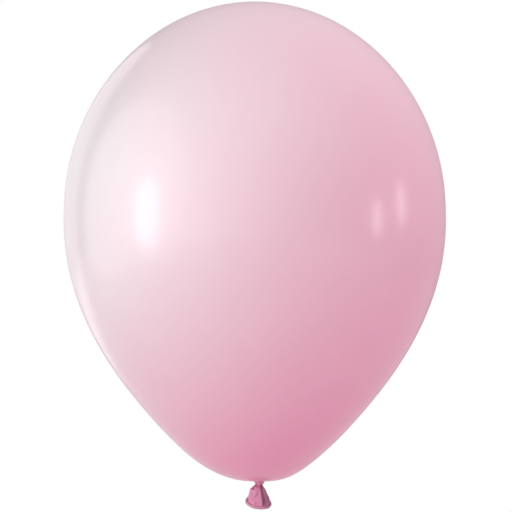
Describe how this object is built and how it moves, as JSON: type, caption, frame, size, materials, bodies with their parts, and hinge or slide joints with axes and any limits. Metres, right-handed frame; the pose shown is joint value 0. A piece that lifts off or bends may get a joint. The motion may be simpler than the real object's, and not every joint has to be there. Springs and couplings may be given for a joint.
{
  "type": "latex balloon",
  "caption": "Inflated round latex balloon in soft pink, tied off with an overhand knot, with its pleated neck tail and rolled lip hanging below.",
  "frame": {"origin": "the tie point: centre of the neck, level with the bottom of the inflated envelope", "axes": "+Z from the tie point to the crown, +X to the right as the balloon is seen from the front, and the viewer looks along +Y. At rest the tail's mouth swings back, towards +Y"},
  "size_m": [0.3, 0.3, 0.3986],
  "materials": {
    "inflated_film": "glossy translucent latex film stretched thin, pastel pink",
    "gathered_film": "semi-gloss latex film bunched and drawn tight, deeper pink",
    "tail_film": "semi-gloss unstretched latex film with soft pleats, pink",
    "rolled_film": "semi-gloss latex film rolled into a bead, pink"
  },
  "bodies": {
    "envelope": {"envelope": "inflated_film"},
    "neck": {"neck_stem": "gathered_film"},
    "knot": {"knot_loop": "gathered_film", "knot_tuck": "gathered_film"},
    "throat": {"tail_throat": "gathered_film"},
    "tail": {"tail_skirt": "tail_film", "rolled_lip": "rolled_film"}
  },
  "joints": [
    {"name": "neck_bend", "type": "hinge", "parent": "envelope", "child": "neck", "pos_m": [0, 0, 0.004], "axis": [1, 0, 0], "range_deg": [-22, 22], "stiffness_Nm_per_rad": 0.0006},
    {"name": "knot_sway", "type": "hinge", "parent": "neck", "child": "knot", "pos_m": [0, 0, -0.0004], "axis": [0, 1, 0], "range_deg": [-20, 20], "stiffness_Nm_per_rad": 0.0006},
    {"name": "tail_twist", "type": "hinge", "parent": "knot", "child": "throat", "pos_m": [0, 0, -0.003], "axis": [0, 0, 1], "range_deg": [-90, 90], "stiffness_Nm_per_rad": 0.0003},
    {"name": "tail_flop", "type": "hinge", "parent": "throat", "child": "tail", "pos_m": [0, 0, -0.0056], "axis": [1, 0, 0], "range_deg": [-60, 14], "stiffness_Nm_per_rad": 0.0004}
  ]
}
